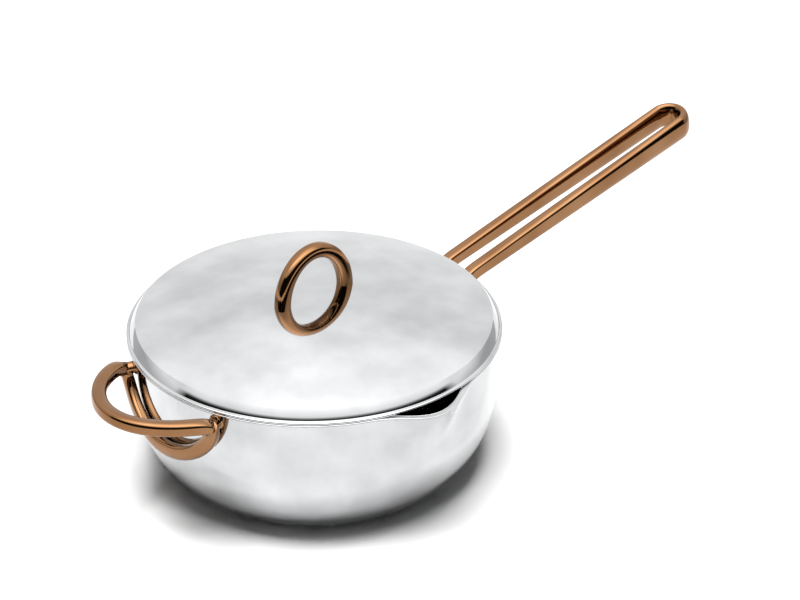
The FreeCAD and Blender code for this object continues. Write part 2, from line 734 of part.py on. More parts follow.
def make_lid_knob():
    """Bar over half an ellipse, its feet trimmed to the dome and bored for screws."""
    half, rise = size("knob_half_span"), size("knob_height")
    foot = FEET["front"].Base.z
    sink = size("knob_bar") / 2
    arch = Part.Ellipse(Vector(0, 0, foot + rise), Vector(half, 0, foot), Vector(0, 0, foot))
    points = [Vector(half, 0, foot - sink), Vector(half, 0, foot)]
    legs = [Part.LineSegment(points[0], points[1])]
    crown = Part.ArcOfEllipse(arch, -math.pi / 2, math.pi / 2)
    legs.append(crown)
    legs.append(Part.LineSegment(Vector(-half, 0, foot), Vector(-half, 0, foot - sink)))
    path = Part.Wire(Part.__sortEdges__([piece.toShape() for piece in legs]))
    thick = size("knob_bar")
    ways = (Vector(1, 0, 0), Vector(0, 1, 0))
    section = soft_box(points[0], *ways, thick, thick, size("knob_bar_round"))
    bar = path.makePipeShell([section], True, False)
    dome = Part.makeSphere(value_of(DOME_RADIUS), Vector(0, 0, value_of(DOME_CENTRE)))
    bores = []
    for frame in FEET.values():
        bore = Part.makeCylinder(
            size("screw_radius") + size("screw_fit"), size("screw_length") + size("bore_spare")
        )
        bore.Placement = frame
        bores.append(bore)
    return add_feature("lid_knob", bar.cut(dome).cut(bores))


def make_knob_fixings():
    """Screw and flat washer under each foot, drawn square to the dome."""
    pieces = []
    washer_top = "-lid_sheet - washer_seat_gap"
    washer_under = f"{washer_top} - washer_thickness"
    crown = f"{washer_under} - screw_head_height"
    for name, frame in FEET.items():
        washer = new_body(f"lid_knob_washer_{name}")
        corners = [
            (SCREW_BORE, washer_top),
            ("washer_radius - washer_chamfer", washer_top),
            ("washer_radius", f"{washer_top} - washer_chamfer"),
            ("washer_radius", washer_under),
            (SCREW_BORE, washer_under),
        ]
        revolve(washer, outline(washer, "section", corners))
        screw = new_body(f"lid_knob_screw_{name}")
        head_and_shank(screw, "screw", (washer_under, crown), "screw_length")
        slot = {
            "Length": "2 * screw_head_radius",
            "Width": "screw_slot_width",
            "Height": "screw_slot_depth",
        }
        corner = Vector(
            -size("screw_head_radius"),
            -size("screw_slot_width") / 2,
            value_of(crown),
        )
        primitive(screw, "SubtractiveBox", "slot", slot, Placement(corner, Rotation()))
        for piece in (washer, screw):
            piece.Placement = frame
            pieces.append(piece)
    return pieces


# ---------------------------------------------------------------- build, check and write

parts = make_plies()
parts += [make_long_handle(), make_helper_handle()]
parts += make_rivets()
parts += [make_lid_shell(), make_lid_knob()]
parts += make_knob_fixings()
doc.recompute()

for item in doc.Objects:
    if "Invalid" in item.State or "Error" in item.State:
        raise RuntimeError(f"{item.Name} failed: {item.State}")
for part in parts:
    if part.Shape.isNull() or not part.Shape.isValid():
        raise RuntimeError(f"{part.Label} has no valid shape")
    if len(part.Shape.Solids) != 1:
        raise RuntimeError(f"{part.Label} is {len(part.Shape.Solids)} solids")

os.makedirs("parts", exist_ok=True)
for part in parts:
    part.Shape.exportStep(f"parts/{part.Label}.step")
    box = part.Shape.BoundBox
    print(
        f"{part.Label:28s} {part.Shape.Volume / 1000:9.3f} cm3"
        f"  x {box.XMin:7.1f} {box.XMax:7.1f}  y {box.YMin:7.1f} {box.YMax:7.1f}"
        f"  z {box.ZMin:7.1f} {box.ZMax:7.1f}"
    )
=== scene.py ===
import math

import bmesh
import bpy
import numpy as np
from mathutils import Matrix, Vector


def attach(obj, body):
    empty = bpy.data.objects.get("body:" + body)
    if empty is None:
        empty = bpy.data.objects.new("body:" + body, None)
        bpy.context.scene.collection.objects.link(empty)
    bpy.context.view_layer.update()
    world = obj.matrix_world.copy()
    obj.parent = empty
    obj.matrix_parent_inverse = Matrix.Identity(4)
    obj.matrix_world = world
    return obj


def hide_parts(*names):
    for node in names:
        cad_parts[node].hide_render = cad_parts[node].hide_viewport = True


bl_info = {
    "name": "Lidded Saucepan",
    "version": (1, 0, 0),
    "blender": (4, 5, 0),
    "location": "3D View > Sidebar > Saucepan",
    "description": "Polished steel saucepan with a spout, copper-toned handles and a domed lid",
    "category": "Add Mesh",
}

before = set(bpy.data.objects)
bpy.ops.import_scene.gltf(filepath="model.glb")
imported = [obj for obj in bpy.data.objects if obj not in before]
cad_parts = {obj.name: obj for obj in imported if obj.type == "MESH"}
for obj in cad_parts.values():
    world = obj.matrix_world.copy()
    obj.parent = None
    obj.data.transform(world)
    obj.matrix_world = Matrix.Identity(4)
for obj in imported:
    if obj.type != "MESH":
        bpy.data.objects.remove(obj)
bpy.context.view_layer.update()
MM = 0.001


# ---------------------------------------------------------------- sizes and colours


def length(label, note, millimetres):
    """A size in metres, shown with its unit; the default is given in millimetres."""
    return bpy.props.FloatProperty(
        name=label, description=note, default=millimetres * MM, unit="LENGTH", precision=5
    )


def turn(label, note, degrees):
    return bpy.props.FloatProperty(
        name=label, description=note, default=math.radians(degrees), subtype="ANGLE"
    )


def tint(label, note, default):
    return bpy.props.StringProperty(name=label, description=note, default=default)


class VesselSizes(bpy.types.PropertyGroup):
    wall_radius: length("Wall radius", "Outside of the wall at the rim", 113.7)
    height: length("Height", "Table to rim", 90.8)
    base_radius: length("Base radius", "Flat of the base", 75.8)
    heel_radius: length("Heel bend", "Bend between the base and the side", 28.0)
    side_radius: length("Side bend", "Large bend of the side", 71.6)
    taper: turn("Wall taper", "Lean of the wall away from upright", 1.43)
    outer_ply: length("Outer layer", "Outer stainless layer", 0.5)
    core_ply: length("Core", "Aluminium layer", 1.6)
    inner_ply: length("Inner layer", "Inner stainless layer", 0.5)
    lip: length("Lip", "Thickness and overhang of the rim's lip", 1.4)
    spout_reach: length("Spout reach", "Spout beyond the wall at the rim", 11.3)
    spout_depth: length("Spout depth", "How far the spout runs down the wall", 40.0)
    spout_dip: length("Spout dip", "Lip at the spout below the rest of the rim", 1.5)
    spout_half_width: turn("Spout half width", "Half the spout's width, seen from above", 19.8)
    spout_turn: turn("Spout turn", "Spout away from -Y, toward the helper ring", 3.0)


class HandleSizes(bpy.types.PropertyGroup):
    bar_width: length("Ring bar width", "Bar, from the inside of the ring to its outside", 9.2)
    outer_thickness: length("Outer thickness", "Bar of the outer half, square to the ring", 8.8)
    lower_thickness: length("Lower thickness", "Bar of the lower half, square to the wall", 7.0)
    bar_tilt: turn("Bar tilt", "Lean of the outer half's top toward the wall", 10.0)
    bar_power: bpy.props.FloatProperty(
        name="Bar squareness", description="2 is an ellipse, more is squarer", default=3.0
    )
    ring_half_width: length("Ring half width", "Half the ring across", 43.1)
    ring_reach: length("Ring reach", "Outer half beyond the wall", 33.9)
    ring_drop: length("Ring drop", "Lower half below the outer half", 35.7)
    ring_height: length("Ring height", "Outer half above the table", 88.6)
    ring_wall_gap: length("Ring gap", "Between the lower half and the wall", 0.3)
    fold_softness: bpy.props.FloatProperty(
        name="Fold softness", description="Share of the half ring over the fold", default=0.27
    )
    boss_radius: length("Boss", "Stub that seats each corner on the wall", 3.8)
    spacing: length("Leg spacing", "Between the centre lines of the legs", 21.6)
    start_x: length("Leg start", "Distance from the axis where the straight legs start", 115.0)
    start_height: length("Leg start height", "Height of the centre line there", 86.4)
    leg_length: length("Leg length", "From there to the centre of the end bend", 202.5)
    rise: turn("Rise", "Upward slope of the long handle", 12.6)
    root_width: length("Root width", "Leg near the vessel, side to side", 8.2)
    root_tall: length("Root height", "Leg near the vessel, top to bottom", 9.2)
    tip_width: length("Tip width", "Leg at the end bend, side to side", 7.6)
    tip_tall: length("Tip height", "Leg at the end bend, top to bottom", 17.6)
    root_power: bpy.props.FloatProperty(
        name="Root squareness", description="2 is an ellipse, more is squarer", default=4.5
    )
    tip_power: bpy.props.FloatProperty(
        name="Tip squareness", description="2 is an ellipse, more is squarer", default=2.2
    )
    bend_start: length("Root bend start", "Along the leg from its start", 12.0)
    bend_radius: length("Root bend", "Radius of the downward bend at the root", 40.0)
    bend_turn: turn("Root bend turn", "Turn of the downward bend at the root", 14.0)


class LidSizes(bpy.types.PropertyGroup):
    radius: length("Lid radius", "Outside of the folded edge", 115.0)
    sheet: length("Sheet", "Steel sheet", 1.2)
    hem_height: length("Hem height", "Folded edge, top to bottom", 2.0)
    hem_flat: length("Hem flat", "Top of the folded edge", 1.8)
    crease_radius: length("Crease radius", "Crease between the shoulder and the dome", 109.3)
    shoulder_height: length("Shoulder height", "Crease above the folded edge", 5.75)
    shoulder_bulge: length("Shoulder bulge", "Round of the shoulder off a straight slope", 0.12)
    dome_rise: length("Dome rise", "Top of the dome above the crease", 13.65)
    skirt_depth: length("Skirt depth", "Skirt below the rim", 5.3)
    skirt_gap: length("Skirt gap", "Between the skirt and the inside of the wall", 2.3)
    knob_half_span: length("Knob half span", "Half the distance between the feet", 24.3)
    knob_height: length("Knob height", "Centre line of the arch above the feet", 30.5)
    knob_bar: length("Knob bar", "Bar of the knob, across and through", 9.4)
    knob_power: bpy.props.FloatProperty(
        name="Knob squareness", description="2 is a circle, more is squarer", default=2.6
    )


class Finishes(bpy.types.PropertyGroup):
    steel: tint("Polished steel", "Colour of the buffed steel", "#ACADAE")
    brushed: tint("Brushed steel", "Colour of the brushed steel", "#BBBCBC")
    copper: tint("Copper tone", "Colour of the handles and the knob", "#8A6647")
    copper_deep: tint("Copper shade", "Colour where the coating is thicker", "#7A5638")
    aluminium: tint("Aluminium", "Colour of the core", "#C4C6C8")
    floor: tint("Floor", "Colour of the floor", "#FBFBFB")


class StageSettings(bpy.types.PropertyGroup):
    azimuth: turn("Camera azimuth", "Direction of the camera, seen from above", -128.5)
    elevation: turn("Camera elevation", "Camera above the horizon", 30.195)
    distance: length("Camera distance", "Camera to the middle of the lid's edge", 1380.0)
    focal: bpy.props.FloatProperty(name="Focal length", default=101.2, unit="CAMERA")
    aside: bpy.props.FloatProperty(
        name="Aside", description="Lid's middle to the right of the view's axis", default=-0.03799
    )
    above: bpy.props.FloatProperty(
        name="Above", description="Lid's middle above the view's axis", default=-0.00966
    )
    floor_half: length("Floor", "Half the floor's side", 900.0)
    light_height: length("Light height", "Overhead light above the floor", 4000.0)
    light_side: length("Light side", "Side of the square overhead light", 2300.0)


# ---------------------------------------------------------------- outlines


def arc(centre, radius, start, end, count):
    """Points centre + radius (cos a, sin a), with a going evenly from start to end."""
    angle = np.linspace(start, end, count)
    return np.stack(
        [centre[0] + radius * np.cos(angle), centre[1] + radius * np.sin(angle)], 1
    )


def line(start, end, count):
    """Points start + (end - start) s, with s going evenly from 0 to 1."""
    share = np.linspace(0.0, 1.0, count)[:, None]
    return np.array(start) + (np.array(end) - np.array(start)) * share


def eased(corners, count=7):
    """An open outline through corners (x, y, round), each corner replaced by an arc.

    The arc of radius r at a turn of angle t touches both sides r tan(t / 2) from the corner.
    """
    pieces = [np.array([corners[0][:2]])]
    for before, here, after in zip(corners, corners[1:], corners[2:]):
        point = np.array(here[:2])
        back = np.array(before[:2]) - point
        ahead = np.array(after[:2]) - point
        back, ahead = back / np.linalg.norm(back), ahead / np.linalg.norm(ahead)
        half_open = math.acos(max(-1.0, min(1.0, float(back @ ahead)))) / 2
        if here[2] <= 0 or half_open > math.pi / 2 - 1e-4:
            pieces.append(point[None])
            continue
        reach = here[2] / math.tan(half_open)
        middle = back + ahead
        centre = point + middle / np.linalg.norm(middle) * here[2] / math.sin(half_open)
        first, last = point + back * reach - centre, point + ahead * reach - centre
        start = math.atan2(first[1], first[0])
        swing = math.atan2(last[1], last[0]) - start
        swing = (swing + math.pi) % (2 * math.pi) - math.pi
        pieces.append(arc(centre, here[2], start, start + swing, count))
    pieces.append(np.array([corners[-1][:2]]))
    return np.concatenate(pieces)


def bulged(start, end, bulge, count=12):
    """An arc between two points that stands out by bulge to the left of the way from end.

    With half the chord c, its radius is (c^2 + bulge^2) / (2 bulge).
    """
    start, end = np.array(start), np.array(end)
    half = np.linalg.norm(end - start) / 2
    way = (end - start) / (2 * half)
    out = np.array([-way[1], way[0]])
    radius = (half**2 + bulge**2) / (2 * bulge)
    swing = math.asin(half / radius)
    angle = np.linspace(-swing, swing, count)[:, None]
    middle = (start + end) / 2 - out * (radius - bulge)
    return middle + radius * (way * np.sin(angle) + out * np.cos(angle))


def tidy_line(points, least=1e-6):
    """The outline without points that repeat the one before."""
    steps = np.linalg.norm(np.diff(points, axis=0), axis=1)
    return points[np.concatenate([[True], steps > least])]


def wall_at(sizes, height, inset=0.0):
    """Radius of the leaning wall at a height, moved in by inset."""
    fall = (sizes.height - height) * math.tan(sizes.taper)
    return sizes.wall_radius - fall - inset / math.cos(sizes.taper)


def bowl_outline(sizes, inset, top, fine):
    """Half section of the bowl moved in by inset, from the axis to the wall at height top.

    Flat base, then the heel's arc, the side's arc and the leaning wall, all tangent.
    """
    heel, side = sizes.heel_radius, sizes.side_radius
    base, slope = sizes.base_radius, sizes.taper
    centre_z = heel
    for _ in range(60):
        centre_x = wall_at(sizes, centre_z) - side / math.cos(slope)
        centre_z = heel + math.sqrt((side - heel) ** 2 - (base - centre_x) ** 2)
    meet = math.atan2(heel - centre_z, base - centre_x)
    foot = centre_z - (side - inset) * math.sin(slope)
    points = [
        line((0.0, inset), (base, inset), fine),
        arc((base, heel), heel - inset, -math.pi / 2, meet, fine),
        arc((centre_x, centre_z), side - inset, meet, -slope, fine * 2),
        line((wall_at(sizes, foot, inset), foot), (wall_at(sizes, top, inset), top), fine),
    ]
    return tidy_line(np.concatenate(points))


# ---------------------------------------------------------------- meshes


def skin(name, grid, body, finishes, along=False, uv=None, bands=None):
    """A closed mesh over a grid of points of shape (rows, columns, 3).

    Rows follow the outline or path, and columns go round.  With along, the last row joins
    the first.  An open end of the rows is shut with a fan to the mean of its last ring,
    which is the pole where that ring is tiny.
    The faces are turned outward by the sign of the volume, the sum of a . (b x c) / 6.
    """
    rows, columns = grid.shape[:2]
    index = np.arange(rows * columns).reshape(rows, columns)
    down = np.roll(index, -1, 0) if along else index
    first = index if along else index[:-1]
    second = down if along else index[1:]
    right = np.roll(first, -1, 1), np.roll(second, -1, 1)
    quads = np.stack([first, second, right[1], right[0]], -1).reshape(-1, 4)
    triangles = np.concatenate([quads[:, [0, 1, 2]], quads[:, [0, 2, 3]]])
    points = grid.reshape(-1, 3)
    band = np.repeat(np.arange(len(first)), columns)
    band = np.concatenate([band, band])
    if not along:
        ends = np.stack([grid[0].mean(0), grid[-1].mean(0)])
        count = len(points)
        points = np.concatenate([points, ends])
        low, high = index[0], index[-1]
        fans = [
            np.stack([np.full(columns, count), low, np.roll(low, -1)], 1),
            np.stack([np.full(columns, count + 1), np.roll(high, -1), high], 1),
        ]
        triangles = np.concatenate([triangles, *fans])
        band = np.concatenate([band, np.zeros(columns, int), np.full(columns, rows - 2)])
    a, b, c = (points[triangles[:, k]] for k in range(3))
    if np.einsum("ij,ij->", a, np.cross(b, c)) < 0:
        triangles = triangles[:, ::-1]

    mesh = bpy.data.meshes.new(name)
    mesh.vertices.add(len(points))
    mesh.vertices.foreach_set("co", points.astype(np.float32).ravel())
    mesh.loops.add(triangles.size)
    mesh.loops.foreach_set("vertex_index", triangles.astype(np.int32).ravel())
    mesh.polygons.add(len(triangles))
    mesh.polygons.foreach_set("loop_start", np.arange(0, triangles.size, 3, dtype=np.int32))
    mesh.update(calc_edges=True)
    for finish in finishes:
        mesh.materials.append(finish)
    if bands is not None:
        mesh.polygons.foreach_set("material_index", bands(band).astype(np.int32))
    mesh.shade_smooth()
    mesh.set_sharp_from_angle(angle=math.radians(38))
    if uv is not None:
        flat = np.concatenate([uv.reshape(-1, 2), np.zeros((len(points) - uv[..., 0].size, 2))])
        layer = mesh.uv_layers.new(name="along_bar")
        layer.data.foreach_set("uv", flat[triangles.ravel()].astype(np.float32).ravel())
    mesh.validate()
    mesh.update()
    piece = bpy.data.objects.new(name, mesh)
    bpy.context.scene.collection.objects.link(piece)
    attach(piece, body)
    return piece


def turned(outline, columns, warp=None):
    """A grid made by turning an outline (r, z) round the upright axis.

    The point at turn t is (r cos t, r sin t, z); warp may first change r and z with t.
    """
    outline = outline[outline[:, 0] > 1e-5]
    angle = columns if hasattr(columns, "__len__") else even_turns(columns)
    radius = np.repeat(outline[:, :1], len(angle), 1)
    height = np.repeat(outline[:, 1:], len(angle), 1)
    turns = np.repeat(angle[None], len(outline), 0)
    if warp:
        radius, height = warp(radius, height, turns)
    return np.stack([radius * np.cos(turns), radius * np.sin(turns), height], -1)


def even_turns(count):
    return np.linspace(0.0, 2 * math.pi, count, endpoint=False)


def section(width, tall, power, columns=64):
    """Offsets (x, y) round |x / half width| ^ p + |y / half height| ^ p = 1, one row per size.

    At turn a they are (w cos a, h sin a) divided by the p-th root of |cos a| ^ p + |sin a| ^ p.
    """
    angle = even_turns(columns)[None]
    sizes = np.broadcast_arrays(*(np.atleast_1d(value) for value in (width, tall, power)))
    width, tall, power = (value[:, None] for value in sizes)
    reach = (np.abs(np.cos(angle)) ** power + np.abs(np.sin(angle)) ** power) ** (-1 / power)
    return np.stack([width / 2 * np.cos(angle) * reach, tall / 2 * np.sin(angle) * reach], -1)


def swept(centres, across, up, offsets):
    """A grid made by carrying a section along a path: centre + across x + up y."""
    return centres[:, None] + across[:, None] * offsets[..., :1] + up[:, None] * offsets[..., 1:]


def bar_map(grid):
    """UV of a swept bar in metres: u along the path, v round the bar."""
    steps = np.linalg.norm(np.diff(grid.mean(1), axis=0), axis=1)
    along = np.concatenate([[0.0], np.cumsum(steps)])
    rows, columns = grid.shape[:2]
    ring = np.linalg.norm(grid[0] - np.roll(grid[0], -1, 0), axis=1).sum()
    return np.stack(
        [
            np.repeat(along[:, None], columns, 1),
            np.repeat(np.linspace(0, ring, columns)[None], rows, 0),
        ],
        -1,
    )


# ---------------------------------------------------------------- materials


def linear(code):
    """An sRGB hex colour as linear RGBA."""
    values = [int(code[k : k + 2], 16) / 255 for k in (1, 3, 5)]
    out = [v / 12.92 if v <= 0.04045 else ((v + 0.055) / 1.055) ** 2.4 for v in values]
    return (*out, 1.0)


def add_node(tree, kind, inputs=None, **settings):
    """One node: its settings, then each input given a value or linked from a socket."""
    node = tree.nodes.new(kind)
    for name, value in settings.items():
        setattr(node, name, value)
    for key, value in (inputs or {}).items():
        if isinstance(value, bpy.types.NodeSocket):
            tree.links.new(value, node.inputs[key])
        else:
            node.inputs[key].default_value = value
    return node


def blank_material(name):
    """An empty node material with its output and one metal shader joined."""
    made = bpy.data.materials.new(name)
    made.use_nodes = True
    tree = made.node_tree
    tree.nodes.clear()
    shader = add_node(tree, "ShaderNodeBsdfPrincipled", {"Metallic": 1.0})
    add_node(tree, "ShaderNodeOutputMaterial", {"Surface": shader.outputs["BSDF"]})
    return made, tree, shader


def ramp(tree, factor, stops):
    """A colour ramp from (place, colour) stops."""
    node = add_node(tree, "ShaderNodeValToRGB", {"Fac": factor})
    elements = node.color_ramp.elements
    while len(elements) < len(stops):
        elements.new(0.5)
    for element, (place, colour) in zip(elements, stops):
        element.position = place
        element.color = colour if len(colour) == 4 else (*colour, 1.0)
    return node


def turned_coordinates(tree):
    """Object coordinates as (distance from the axis, turn, height), for spun patterns."""
    place = add_node(tree, "ShaderNodeTexCoord").outputs["Object"]
    parts = add_node(tree, "ShaderNodeSeparateXYZ", {"Vector": place})
    x, y, z = (parts.outputs[k] for k in range(3))
    flat = add_node(tree, "ShaderNodeCombineXYZ", {0: x, 1: y})
    radius = add_node(tree, "ShaderNodeVectorMath", {0: flat.outputs[0]}, operation="LENGTH")
    angle = add_node(tree, "ShaderNodeMath", {0: y, 1: x}, operation="ARCTAN2")
    slow = add_node(tree, "ShaderNodeMath", {0: angle.outputs[0], 1: 0.01}, operation="MULTIPLY")
    spun = add_node(
        tree,
        "ShaderNodeCombineXYZ",
        {0: radius.outputs["Value"], 1: slow.outputs[0], 2: z},
    )
    return place, spun.outputs[0]


def buffed_stainless(finish):
    """18/10 stainless steel, spun and mirror buffed.

    The eye gets clear reflections that waver a little over the spun sheet, and a thin haze
    where cloths have wiped it.
    """
    made, tree, shader = blank_material("buffed_stainless_steel")
    place, spun = turned_coordinates(tree)
    # Wipe marks are about 30 mm across, the sheet's slow wave about 45 mm.
    wipes = add_node(tree, "ShaderNodeTexNoise", {"Vector": place, "Scale": 33.0, "Detail": 3.0})
    haze = add_node(
        tree, "ShaderNodeMapRange", {0: wipes.outputs["Fac"], 1: 0.3, 2: 0.7, 3: 0.03, 4: 0.06}
    )
    tone = ramp(
        tree, wipes.outputs["Fac"], [(0.3, linear(finish.steel)), (0.7, linear("#C0C1C2"))]
    )
    # Buffing lines are really 0.1 mm apart; they are drawn 1 mm apart so that they show.
    lines = add_node(tree, "ShaderNodeTexNoise", {"Vector": spun, "Scale": 1000.0, "Detail": 2.0})
    bump = add_node(
        tree,
        "ShaderNodeBump",
        {"Height": lines.outputs["Fac"], "Strength": 0.02, "Distance": 0.0001},
    )
    wave = add_node(tree, "ShaderNodeTexNoise", {"Vector": place, "Scale": 22.0, "Detail": 0.0})
    swell = add_node(
        tree,
        "ShaderNodeBump",
        {
            "Height": wave.outputs["Fac"],
            "Strength": 0.25,
            "Distance": 0.0002,
            "Normal": bump.outputs["Normal"],
        },
    )
    tree.links.new(tone.outputs["Color"], shader.inputs["Base Color"])
    tree.links.new(haze.outputs["Result"], shader.inputs["Roughness"])
    tree.links.new(swell.outputs["Normal"], shader.inputs["Normal"])
    return made


def brushed_stainless(finish):
    """18/10 stainless steel left with the rings of the brush that finished it on the lathe.

    The eye gets soft streaks of light that run out from the middle.
    """
    made, tree, shader = blank_material("brushed_stainless_steel")
    shader.inputs["Anisotropic"].default_value = 0.5
    spun = turned_coordinates(tree)[1]
    # Brush rings are 0.2 mm apart; they are drawn 0.8 mm apart so that they show.
    rings = add_node(tree, "ShaderNodeTexNoise", {"Vector": spun, "Scale": 1250.0, "Detail": 3.0})
    tone = ramp(
        tree, rings.outputs["Fac"], [(0.25, linear("#B4B5B6")), (0.75, linear(finish.brushed))]
    )
    rough = add_node(
        tree, "ShaderNodeMapRange", {0: rings.outputs["Fac"], 1: 0.2, 2: 0.8, 3: 0.2, 4: 0.34}
    )
    bump = add_node(
        tree,
        "ShaderNodeBump",
        {"Height": rings.outputs["Fac"], "Strength": 0.25, "Distance": 0.0001},
    )
    tree.links.new(tone.outputs["Color"], shader.inputs["Base Color"])
    tree.links.new(rough.outputs["Result"], shader.inputs["Roughness"])
    tree.links.new(bump.outputs["Normal"], shader.inputs["Normal"])
    return made


def copper_tone(finish):
    """Stainless bar with a thin copper-coloured vacuum coating over a fine polish.

    The eye gets warm reflections, a little deeper where the coating is thicker.
    """
    made, tree, shader = blank_material("copper_toned_steel")
    place = add_node(tree, "ShaderNodeTexCoord")
    # The coating's tone drifts over about 40 mm.
    drift = add_node(
        tree, "ShaderNodeTexNoise", {"Vector": place.outputs["Object"], "Scale": 25.0}
    )
    tone = ramp(
        tree,
        drift.outputs["Fac"],
        [(0.35, linear(finish.copper)), (0.7, linear(finish.copper_deep))],
    )
    # Polishing marks run along the bar, drawn 0.6 mm apart and 30 mm long.
    stretch = add_node(
        tree,
        "ShaderNodeMapping",
        {"Vector": place.outputs["UV"], "Scale": (33.0, 1600.0, 1.0)},
    )
    marks = add_node(
        tree,
        "ShaderNodeTexNoise",
        {"Vector": stretch.outputs[0], "Scale": 1.0, "Detail": 2.0},
    )
    rough = add_node(
        tree, "ShaderNodeMapRange", {0: marks.outputs["Fac"], 1: 0.25, 2: 0.75, 3: 0.05, 4: 0.1}
    )
    bump = add_node(
        tree,
        "ShaderNodeBump",
        {"Height": marks.outputs["Fac"], "Strength": 0.04, "Distance": 0.0001},
    )
    tree.links.new(tone.outputs["Color"], shader.inputs["Base Color"])
    tree.links.new(rough.outputs["Result"], shader.inputs["Roughness"])
    tree.links.new(bump.outputs["Normal"], shader.inputs["Normal"])
    return made


def satin_steel(name, colour, grain, low, high):
    """Cold-headed or pressed metal left as it came from the tumbler.

    The eye gets a soft shine broken up by small dents.
    """
    made, tree, shader = blank_material(name)
    place = add_node(tree, "ShaderNodeTexCoord")
    dents = add_node(
        tree,
        "ShaderNodeTexNoise",
        {"Vector": place.outputs["Object"], "Scale": 1000.0 / grain, "Detail": 3.0},
    )
    tone = ramp(tree, dents.outputs["Fac"], [(0.3, linear("#A9AAAC")), (0.7, linear(colour))])
    rough = add_node(
        tree, "ShaderNodeMapRange", {0: dents.outputs["Fac"], 1: 0.3, 2: 0.7, 3: low, 4: high}
    )
    bump = add_node(
        tree,
        "ShaderNodeBump",
        {"Height": dents.outputs["Fac"], "Strength": 0.15, "Distance": 0.0001},
    )
    tree.links.new(tone.outputs["Color"], shader.inputs["Base Color"])
    tree.links.new(rough.outputs["Result"], shader.inputs["Roughness"])
    tree.links.new(bump.outputs["Normal"], shader.inputs["Normal"])
    return made


def finish_named(name):
    """The material of that name, made the first time it is asked for."""
    if name in bpy.data.materials:
        return bpy.data.materials[name]
    finish = bpy.context.scene.saucepan_finishes
    makers = {
        "buffed_stainless_steel": lambda: buffed_stainless(finish),
        "brushed_stainless_steel": lambda: brushed_stainless(finish),
        "copper_toned_steel": lambda: copper_tone(finish),
        "tumbled_stainless_steel": lambda: satin_steel(name, finish.brushed, 0.8, 0.22, 0.34),
        "rolled_aluminium": lambda: satin_steel(name, finish.aluminium, 1.5, 0.3, 0.42),
    }
    return makers[name]()


# ---------------------------------------------------------------- vessel


def spout_warp(sizes):
    """Raised-cosine swelling of the wall round the spout.

    At a turn x half widths from the spout the wall moves out by reach f(d) (1 + cos pi x) / 2
    and down by dip times that bump squared, where f falls from 1 at the rim to 0 at depth.
    """

    def warp(radius, height, turns):
        off = np.angle(np.exp(1j * (turns + math.pi / 2 + sizes.spout_turn)))
        depth = np.clip((sizes.height - height) / sizes.spout_depth, 0.0, 1.0)
        fall = (1.0 - depth) ** 1.5
        width = sizes.spout_half_width * (0.5 + 0.5 * fall)
        bump = (1 + np.cos(math.pi * np.clip(np.abs(off) / width, 0, 1))) / 2
        out = sizes.spout_reach * fall * bump
        down = sizes.spout_dip * fall**3 * bump**2
        return radius + out, height - down

    return warp


class SAUCEPAN_OT_vessel(bpy.types.Operator):
    """Make the vessel's three bonded layers with the rim's lip and the spout"""

    bl_idname = "saucepan.vessel"
    bl_label = "Make Vessel"

    def execute(self, context):
        sizes = context.scene.saucepan_vessel
        warp = spout_warp(sizes)
        top, lip = sizes.height, sizes.lip
        under = top - lip
        core_in = sizes.outer_ply + sizes.core_ply
        cavity = core_in + sizes.inner_ply
        fine = 24

        outside = bowl_outline(sizes, 0.0, under - 2 * MM, fine)
        edge = sizes.wall_radius + lip
        head = eased(
            [
                (wall_at(sizes, under - 2 * MM), under - 2 * MM, 0),
                (wall_at(sizes, under), under, 0.5 * MM),
                (edge, under, 0.6 * MM),
                (edge, top, 0.7 * MM),
                (wall_at(sizes, top, core_in), top, 0.15 * MM),
                (wall_at(sizes, under, core_in), under, 0),
                (wall_at(sizes, under, sizes.outer_ply), under, 0),
            ]
        )
        inside = bowl_outline(sizes, sizes.outer_ply, under, fine)[::-1]
        shell = tidy_line(np.concatenate([outside, head, inside]))
        piece = skin(
            "vessel_outside",
            turned(shell, 360, warp),
            "pan",
            [finish_named("buffed_stainless_steel")],
        )
        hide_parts("vessel_outer_ply")

        core = [
            bowl_outline(sizes, sizes.outer_ply, under, fine),
            bowl_outline(sizes, core_in, under, fine)[::-1],
        ]
        piece = skin(
            "vessel_core",
            turned(tidy_line(np.concatenate(core)), 360, warp),
            "pan",
            [finish_named("rolled_aluminium")],
        )
        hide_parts("vessel_core_ply")

        lining = [
            bowl_outline(sizes, core_in, top - 0.2 * MM, fine),
            bowl_outline(sizes, cavity, top - 0.2 * MM, fine)[::-1],
        ]
        middle = (lining[0][-1] + lining[1][0]) / 2 + np.array([0.0, 0.2 * MM])
        lining.insert(1, middle[None])
        piece = skin(
            "vessel_inside",
            turned(tidy_line(np.concatenate(lining)), 360, warp),
            "pan",
            [finish_named("brushed_stainless_steel")],
        )
        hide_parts("vessel_inner_ply")
        return {"FINISHED"}


# ---------------------------------------------------------------- handles


def to_wall(points, direction, sizes):
    """Slides points along a direction until they meet the leaning wall.

    The wall is (x, y) = R0 + k z from the axis, so the slide t solves
    (x + t a)^2 + (y + t b)^2 = (R0 + k (z + t c))^2, a quadratic in t.
    """
    k = math.tan(sizes.taper)
    start = sizes.wall_radius - sizes.height * k
    x, y, z = points.T
    a, b, c = direction
    reach = start + k * z
    square = a * a + b * b - (k * c) ** 2
    half = x * a + y * b - k * c * reach
    rest = x * x + y * y - reach**2
    slide = (-half + np.sign(a) * np.sqrt(half**2 - square * rest)) / square
    return points + slide[:, None] * np.array(direction)


